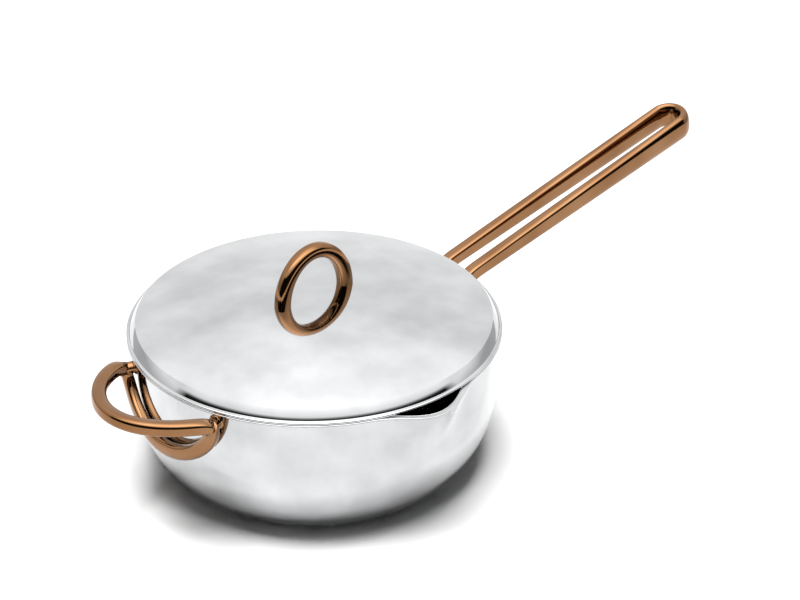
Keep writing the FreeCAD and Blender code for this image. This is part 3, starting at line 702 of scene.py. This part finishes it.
class SAUCEPAN_OT_long_handle(bpy.types.Operator):
    """Make the long handle: two legs that grow taller toward the tip, joined by a half turn"""

    bl_idname = "saucepan.long_handle"
    bl_label = "Make Long Handle"

    def execute(self, context):
        sizes = context.scene.saucepan_handles
        vessel = context.scene.saucepan_vessel
        rise, bend = sizes.rise, sizes.bend_turn
        crossing = np.array([sizes.start_x, 0.0, sizes.start_height])
        along = np.array([math.cos(rise), 0.0, math.sin(rise)])
        side = np.array([0.0, 1.0, 0.0])
        bend_start = crossing + along * sizes.bend_start
        centre = bend_start + np.array([math.sin(rise), 0, -math.cos(rise)]) * sizes.bend_radius
        tip = crossing + along * sizes.leg_length

        # One leg from the wall to the tip: slope, bend and share of the growth at each row.
        angle = np.concatenate([np.full(6, rise + bend), np.linspace(rise + bend, rise, 20)])
        angle = np.concatenate([angle, np.full(60, rise)])
        share = np.concatenate([np.zeros(26), np.linspace(0, 1, 61)[1:]])
        up = np.stack([-np.sin(angle), np.zeros_like(angle), np.cos(angle)], 1)
        path = centre + up * sizes.bend_radius
        steep = np.array([math.cos(rise + bend), 0.0, math.sin(rise + bend)])
        path[:6] = path[6] - steep * np.linspace(10, 0.5, 6)[:, None] * MM
        path[26:] = bend_start + (tip - bend_start) * share[26:, None]
        wide = sizes.root_width + (sizes.tip_width - sizes.root_width) * share
        tall = sizes.root_tall + (sizes.tip_tall - sizes.root_tall) * share

        half = sizes.spacing / 2
        swing = np.linspace(0, math.pi, 41)[1:-1, None]
        spoke = side * np.cos(swing) + along * np.sin(swing)
        leg, bend = len(path), len(spoke)
        back = (path - side * half)[::-1]
        centres = np.concatenate([path + side * half, tip + spoke * half, back])
        across = np.concatenate([np.tile(side, (leg, 1)), spoke, np.tile(-side, (leg, 1))])
        upward = np.concatenate([up, np.tile(up[-1], (bend, 1)), up[::-1]])
        wide = np.concatenate([wide, np.full(bend, sizes.tip_width), wide[::-1]])
        tall = np.concatenate([tall, np.full(bend, sizes.tip_tall), tall[::-1]])
        power = sizes.root_power + (sizes.tip_power - sizes.root_power) * share
        power = np.concatenate([power, np.full(bend, sizes.tip_power), power[::-1]])
        grid = swept(centres, across, upward, section(wide, tall, power))
        for row in (0, -1):
            grid[row] = to_wall(grid[row], steep, vessel)
        piece = skin(
            "long_handle_bar",
            grid,
            "pan",
            [finish_named("copper_toned_steel")],
            uv=bar_map(grid),
        )
        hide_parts("long_handle")
        return {"FINISHED"}


class SAUCEPAN_OT_helper_ring(bpy.types.Operator):
    """Make the helper ring: an oval of round bar folded about its long axis"""

    bl_idname = "saucepan.helper_ring"
    bl_label = "Make Helper Ring"

    def execute(self, context):
        sizes = context.scene.saucepan_handles
        vessel = context.scene.saucepan_vessel
        phase = even_turns(360)
        across, lift = np.cos(phase), np.sin(phase)
        soft = sizes.fold_softness
        blend = np.hypot(lift, soft)
        rest = (math.hypot(1.0, soft) - 1.0) / 2
        outer, lower = (blend + lift) / 2 - rest, (blend - lift) / 2 - rest
        y = sizes.ring_half_width * across
        z = sizes.ring_height - sizes.ring_drop * lower
        taper = math.tan(vessel.taper)
        wall = vessel.wall_radius - (vessel.height - z) * taper
        hug = wall + sizes.ring_wall_gap + sizes.lower_thickness / 2
        x = -(np.sqrt(hug**2 - y**2) + sizes.ring_reach * outer)
        path = np.stack([x, y, z], 1)
        tangent = np.roll(path, -1, 0) - np.roll(path, 1, 0)
        tangent /= np.linalg.norm(tangent, axis=1)[:, None]
        top = np.array([math.sin(sizes.bar_tilt), 0.0, math.cos(sizes.bar_tilt)])
        off_wall = np.stack([x, y, np.zeros_like(x)], 1)
        off_wall /= np.linalg.norm(off_wall, axis=1)[:, None]
        face = top * outer[:, None] + off_wall * lower[:, None]
        face -= tangent * np.sum(face * tangent, 1)[:, None]
        face /= np.linalg.norm(face, axis=1)[:, None]
        share = outer / (outer + lower)
        thick = sizes.lower_thickness + (sizes.outer_thickness - sizes.lower_thickness) * share
        offsets = section(sizes.bar_width, thick, sizes.bar_power)
        grid = swept(path, np.cross(face, tangent), face, offsets)
        piece = skin(
            "helper_ring_bar",
            grid,
            "pan",
            [finish_named("copper_toned_steel")],
            along=True,
            uv=bar_map(grid),
        )
        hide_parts("helper_handle")
        for side, corner in (("left", path[0]), ("right", path[len(path) // 2])):
            self.boss(side, corner, vessel, sizes)
        return {"FINISHED"}

    def boss(self, side, corner, vessel, sizes):
        """A stub from the wall to the ring's corner, turned about the line square to the wall."""
        azimuth = math.atan2(corner[1], corner[0])
        wall = wall_at(vessel, corner[2])
        gap = math.hypot(corner[0], corner[1]) - wall
        foot = 1.25 * sizes.boss_radius
        outline = eased(
            [
                (0.0, -0.5 * MM, 0),
                (foot, -0.5 * MM, 0),
                (foot, 0.3 * MM, 0.2 * MM),
                (sizes.boss_radius, 0.9 * MM, 0.8 * MM),
                (sizes.boss_radius, gap, 0.3 * MM),
                (0.0, gap, 0),
            ]
        )
        grid = turned(tidy_line(outline), 48)
        out = np.array([math.cos(azimuth), math.sin(azimuth), 0.0])
        aside = np.array([-out[1], out[0], 0.0])
        seat = out * wall + np.array([0.0, 0.0, corner[2]])
        upright = np.array([0.0, 0.0, 1.0])
        grid = seat + grid[..., :1] * aside + grid[..., 1:2] * upright + grid[..., 2:] * out
        skin(
            f"helper_ring_boss_{side}",
            grid,
            "pan",
            [finish_named("copper_toned_steel")],
            uv=bar_map(grid),
        )


# ---------------------------------------------------------------- lid


class SAUCEPAN_OT_lid(bpy.types.Operator):
    """Make the lid: dome, sloping shoulder and an edge folded under into a skirt"""

    bl_idname = "saucepan.lid"
    bl_label = "Make Lid"

    def execute(self, context):
        sizes = context.scene.saucepan_lid
        vessel = context.scene.saucepan_vessel
        rim, thin = vessel.height, sizes.sheet
        hem_top = rim + sizes.hem_height
        crease = hem_top + sizes.shoulder_height
        radius, centre = dome_of(sizes, vessel)
        inner_crease = sizes.crease_radius - thin
        inner_height = centre + math.sqrt((radius - thin) ** 2 - inner_crease**2)
        foot = sizes.radius - sizes.hem_flat
        cavity = vessel.outer_ply + vessel.core_ply + vessel.inner_ply
        skirt = vessel.wall_radius - cavity - sizes.skirt_gap
        under = hem_top - thin

        def dome(r, reach):
            return centre + np.sqrt(reach**2 - r**2)

        top_r = np.linspace(0.0, sizes.crease_radius - 0.25 * MM, 90)
        upper = np.stack([top_r, dome(top_r, radius)], 1)
        shoulder = bulged((sizes.crease_radius, crease), (foot, hem_top), sizes.shoulder_bulge)
        low_r = np.linspace(inner_crease - 2.5 * MM, 0.0, 60)
        inner = np.stack([low_r, dome(low_r, radius - thin)], 1)
        half_hem = sizes.hem_height / 2
        rim_line = eased(
            [
                (*shoulder[-2], 0),
                (foot, hem_top, 0.3 * MM),
                (sizes.radius, hem_top, half_hem * 0.999),
                (sizes.radius, rim, half_hem * 0.999),
                (skirt, rim, 0.6 * MM),
                (skirt, rim - sizes.skirt_depth, 0.4 * MM),
                (skirt - thin, rim - sizes.skirt_depth, 0.4 * MM),
                (skirt - thin, under, 0.6 * MM),
                (foot - thin, under, 0.6 * MM),
                (inner_crease, inner_height, 0.5 * MM),
                (*inner[0], 0),
            ]
        )
        outline = tidy_line(np.concatenate([upper, shoulder[:-1], rim_line, inner]))
        # The outside is buffed down to the fold, and the underside keeps its brushed rings.
        fold = int(np.argmin(np.abs(outline[:, 0] - skirt) + np.abs(outline[:, 1] - rim)))
        grid = turned(outline, 360)
        piece = skin(
            "lid_sheet",
            grid,
            "lid",
            [finish_named("buffed_stainless_steel"), finish_named("brushed_stainless_steel")],
            bands=lambda band: band >= fold,
        )
        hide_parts("lid_shell")
        return {"FINISHED"}


def dome_of(sizes, vessel):
    """Radius of the dome and height of its centre, from its rise over the crease."""
    radius = (sizes.crease_radius**2 + sizes.dome_rise**2) / (2 * sizes.dome_rise)
    crease = vessel.height + sizes.hem_height + sizes.shoulder_height
    return radius, crease + sizes.dome_rise - radius


class SAUCEPAN_OT_knob(bpy.types.Operator):
    """Make the lid's knob: rounded bar over half an ellipse, its feet cut to the dome"""

    bl_idname = "saucepan.knob"
    bl_label = "Make Knob"

    def execute(self, context):
        sizes = context.scene.saucepan_lid
        radius, centre = dome_of(sizes, context.scene.saucepan_vessel)
        half, bar = sizes.knob_half_span, sizes.knob_bar
        foot = centre + math.sqrt(radius**2 - half**2)
        swing = np.linspace(0.0, math.pi, 121)
        zero = np.zeros_like(swing)
        path = np.stack([half * np.cos(swing), zero, foot + sizes.knob_height * np.sin(swing)], 1)
        tangent = np.stack(
            [-half * np.sin(swing), zero, sizes.knob_height * np.cos(swing)], 1
        )
        tangent /= np.linalg.norm(tangent, axis=1)[:, None]
        side = np.tile([0.0, 1.0, 0.0], (len(path), 1))
        grid = swept(path, side, np.cross(tangent, side), section(bar, bar, sizes.knob_power))
        for row in (0, -1):
            x, y = grid[row, :, 0], grid[row, :, 1]
            grid[row, :, 2] = centre + np.sqrt(radius**2 - x**2 - y**2)
        piece = skin(
            "knob_bar",
            grid,
            "lid",
            [finish_named("copper_toned_steel")],
            uv=bar_map(grid),
        )
        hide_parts("lid_knob")
        return {"FINISHED"}


class SAUCEPAN_OT_fixings(bpy.types.Operator):
    """Make the rivets, screws and washers from their solids, with smooth round faces"""

    bl_idname = "saucepan.fixings"
    bl_label = "Make Fixings"

    def execute(self, context):
        for name, node in list(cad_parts.items()):
            if not any(kind in name for kind in ("rivet", "screw", "washer")):
                continue
            shape = bmesh.new()
            shape.from_mesh(node.data)
            bmesh.ops.remove_doubles(shape, verts=shape.verts, dist=0.001 * MM)
            mesh = bpy.data.meshes.new(f"{name}_tumbled")
            shape.to_mesh(mesh)
            shape.free()
            mesh.materials.clear()
            mesh.materials.append(finish_named("tumbled_stainless_steel"))
            mesh.polygons.foreach_set("material_index", np.zeros(len(mesh.polygons), np.int32))
            mesh.shade_smooth()
            mesh.set_sharp_from_angle(angle=math.radians(38))
            piece = bpy.data.objects.new(f"{name}_tumbled", mesh)
            context.scene.collection.objects.link(piece)
            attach(piece, "lid" if name.startswith("lid") else "pan")
            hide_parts(name)
        return {"FINISHED"}


# ---------------------------------------------------------------- stage


def grey(value):
    return (value, value, value, 1.0)


def ranged(tree, value, low, high, start=0.0, end=1.0):
    """A socket that goes from start to end as value goes from low to high, and stays there."""
    node = add_node(tree, "ShaderNodeMapRange", {0: value, 1: low, 2: high, 3: start, 4: end})
    return node.outputs[0]


def studio_world(stage):
    """A soft studio: a white sweep away from the camera, and a dark room on the camera's side.

    Metal sees the sweep, brighter overhead, its ends greyer near the horizon, and the dark
    room up to a height that rises toward the camera.  Matt things get a faint light from
    overhead, and metal that matt things see mirrors no studio, so that the shadow under the
    pan stays dark.  The camera sees plain white.
    """
    world = bpy.data.worlds.new("studio")
    world.use_nodes = True
    tree = world.node_tree
    tree.nodes.clear()
    ray = add_node(tree, "ShaderNodeLightPath")
    way = add_node(tree, "ShaderNodeTexCoord").outputs["Generated"]
    height = add_node(tree, "ShaderNodeSeparateXYZ", {"Vector": way}).outputs[2]
    # A ramp's stops are the height, or the lean, and the light there.
    sweep_stops = (0.0, 0.9), (0.56, 0.9), (0.65, 1.06), (0.84, 1.3), (1.0, 2.6)
    room_stops = (0.28, 0.01), (0.31, 0.35), (0.34, 0.95), (0.5, 1.3), (0.75, 3.4)
    toward = (math.cos(stage.azimuth), math.sin(stage.azimuth), 0.0)
    near = add_node(tree, "ShaderNodeVectorMath", {0: way, 1: toward}, operation="DOT_PRODUCT")
    near = near.outputs["Value"]

    sweep = ramp(
        tree,
        ranged(tree, height, 0.0, 1.0),
        [(at, grey(light)) for at, light in sweep_stops],
    )
    ends = add_node(
        tree,
        "ShaderNodeMath",
        {0: ranged(tree, height, 0.1, 0.3, 0.6, 0.0), 1: ranged(tree, near, -0.97, -0.88)},
        operation="MULTIPLY",
    )
    sweep = add_node(
        tree,
        "ShaderNodeMix",
        {0: ends.outputs[0], 6: sweep.outputs[0], 7: grey(0.2)},
        data_type="RGBA",
    )
    lean = add_node(
        tree, "ShaderNodeMath", {0: near, 1: -0.25, 2: height}, operation="MULTIPLY_ADD"
    )
    room = ramp(
        tree,
        ranged(tree, lean.outputs[0], 0.0, 1.0),
        [(at, grey(light)) for at, light in room_stops],
    )
    studio = add_node(
        tree,
        "ShaderNodeMix",
        {0: ranged(tree, near, 0.0, 0.14), 6: sweep.outputs[2], 7: room.outputs[0]},
        data_type="RGBA",
    )
    cloth = add_node(tree, "ShaderNodeMath", {0: height, 1: 2.0}, operation="POWER")
    over = add_node(
        tree,
        "ShaderNodeMath",
        {0: cloth.outputs[0], 1: ranged(tree, height, 0.5, 0.9, 0.0, 0.02)},
        operation="MULTIPLY",
    )
    matt = add_node(tree, "ShaderNodeBackground", {"Color": grey(1.0), "Strength": over.outputs[0]})
    mirrored = ranged(tree, ray.outputs["Diffuse Depth"], 0.0, 1.0, 1.47, 0.0)
    gloss = add_node(
        tree, "ShaderNodeBackground", {"Color": studio.outputs[2], "Strength": mirrored}
    )
    plain = add_node(tree, "ShaderNodeBackground", {"Color": grey(1.0), "Strength": 1.05})
    lit = add_node(
        tree,
        "ShaderNodeMixShader",
        {0: ray.outputs["Is Glossy Ray"], 1: matt.outputs[0], 2: gloss.outputs[0]},
    )
    seen = add_node(
        tree,
        "ShaderNodeMixShader",
        {0: ray.outputs["Is Camera Ray"], 1: lit.outputs[0], 2: plain.outputs[0]},
    )
    add_node(tree, "ShaderNodeOutputWorld", {"Surface": seen.outputs[0]})
    bpy.context.scene.world = world


def place_camera(stage, target):
    """A camera at a distance and direction from target, which stays off the view's axis.

    With the target aside a and above b of the axis, both as tangents, the pitch p solves
    sin p - b cos p = n sin e, with n = sqrt(1 + a^2 + b^2) and e the elevation.
    """
    a, b, elevation = stage.aside, stage.above, stage.elevation
    n = math.sqrt(1 + a * a + b * b)
    pitch = math.atan(b) + math.asin(n * math.sin(elevation) / math.sqrt(1 + b * b))
    heading = stage.azimuth + math.pi + math.atan2(a, b * math.sin(pitch) + math.cos(pitch))
    out = Vector(
        (
            math.cos(stage.azimuth) * math.cos(elevation),
            math.sin(stage.azimuth) * math.cos(elevation),
            math.sin(elevation),
        )
    )
    look = Vector(
        (math.cos(heading) * math.cos(pitch), math.sin(heading) * math.cos(pitch), -math.sin(pitch))
    )
    lens = bpy.data.cameras.new("camera")
    lens.lens = stage.focal
    lens.sensor_width = 36.0
    lens.clip_end = 50.0
    camera = bpy.data.objects.new("camera", lens)
    bpy.context.scene.collection.objects.link(camera)
    camera.location = target + out * stage.distance
    camera.rotation_euler = look.to_track_quat("-Z", "Y").to_euler()
    bpy.context.scene.camera = camera


def soft_box(name, place, target, width, height, power):
    """A large area light that faces target."""
    data = bpy.data.lights.new(name, "AREA")
    data.shape = "RECTANGLE"
    data.size, data.size_y, data.energy = width, height, power
    lamp = bpy.data.objects.new(name, data)
    bpy.context.scene.collection.objects.link(lamp)
    lamp.visible_glossy = False
    lamp.location = place
    lamp.rotation_euler = (Vector(target) - Vector(place)).to_track_quat("-Z", "Y").to_euler()


class SAUCEPAN_OT_stage(bpy.types.Operator):
    """Make the floor, the lights and the camera"""

    bl_idname = "saucepan.stage"
    bl_label = "Make Stage"

    def execute(self, context):
        scene = context.scene
        stage = scene.saucepan_stage
        studio_world(stage)
        half = stage.floor_half
        corners = [(-half, -half, 0), (half, -half, 0), (half, half, 0), (-half, half, 0)]
        mesh = bpy.data.meshes.new("floor")
        mesh.from_pydata(corners, [], [(0, 1, 2, 3)])
        made = bpy.data.materials.new("matt_white_paint")
        made.use_nodes = True
        shader = made.node_tree.nodes["Principled BSDF"]
        shader.inputs["Base Color"].default_value = linear(scene.saucepan_finishes.floor)
        shader.inputs["Roughness"].default_value = 0.9
        shader.inputs["Specular IOR Level"].default_value = 0.0
        mesh.materials.append(made)
        floor = bpy.data.objects.new("floor", mesh)
        scene.collection.objects.link(floor)
        lid = scene.saucepan_lid
        target = Vector((0.0, 0.0, scene.saucepan_vessel.height + lid.hem_height))
        place_camera(stage, target)
        place = (-0.42, -0.2, stage.light_height)
        soft_box("top_light", place, target, stage.light_side, stage.light_side, 295.0)
        scene.view_settings.view_transform = "Standard"
        return {"FINISHED"}


# ---------------------------------------------------------------- panel and registration


OPERATORS = (
    SAUCEPAN_OT_vessel,
    SAUCEPAN_OT_long_handle,
    SAUCEPAN_OT_helper_ring,
    SAUCEPAN_OT_lid,
    SAUCEPAN_OT_knob,
    SAUCEPAN_OT_fixings,
    SAUCEPAN_OT_stage,
)
GROUPS = {
    "saucepan_vessel": VesselSizes,
    "saucepan_handles": HandleSizes,
    "saucepan_lid": LidSizes,
    "saucepan_finishes": Finishes,
    "saucepan_stage": StageSettings,
}


class SAUCEPAN_PT_panel(bpy.types.Panel):
    """The saucepan's pieces and sizes"""

    bl_label = "Saucepan"
    bl_idname = "SAUCEPAN_PT_panel"
    bl_space_type = "VIEW_3D"
    bl_region_type = "UI"
    bl_category = "Saucepan"

    def draw(self, context):
        for operator in OPERATORS:
            self.layout.operator(operator.bl_idname)
        for group in GROUPS:
            settings = getattr(context.scene, group)
            box = self.layout.box()
            for name in settings.__annotations__:
                box.prop(settings, name)


CLASSES = (*GROUPS.values(), *OPERATORS, SAUCEPAN_PT_panel)


def register():
    for made in CLASSES:
        bpy.utils.register_class(made)
    for name, group in GROUPS.items():
        setattr(bpy.types.Scene, name, bpy.props.PointerProperty(type=group))


def unregister():
    for name in GROUPS:
        delattr(bpy.types.Scene, name)
    for made in reversed(CLASSES):
        bpy.utils.unregister_class(made)


def main():
    register()
    bpy.ops.saucepan.vessel()
    bpy.ops.saucepan.long_handle()
    bpy.ops.saucepan.helper_ring()
    bpy.ops.saucepan.lid()
    bpy.ops.saucepan.knob()
    bpy.ops.saucepan.fixings()
    bpy.ops.saucepan.stage()


if __name__ == "__main__":
    main()
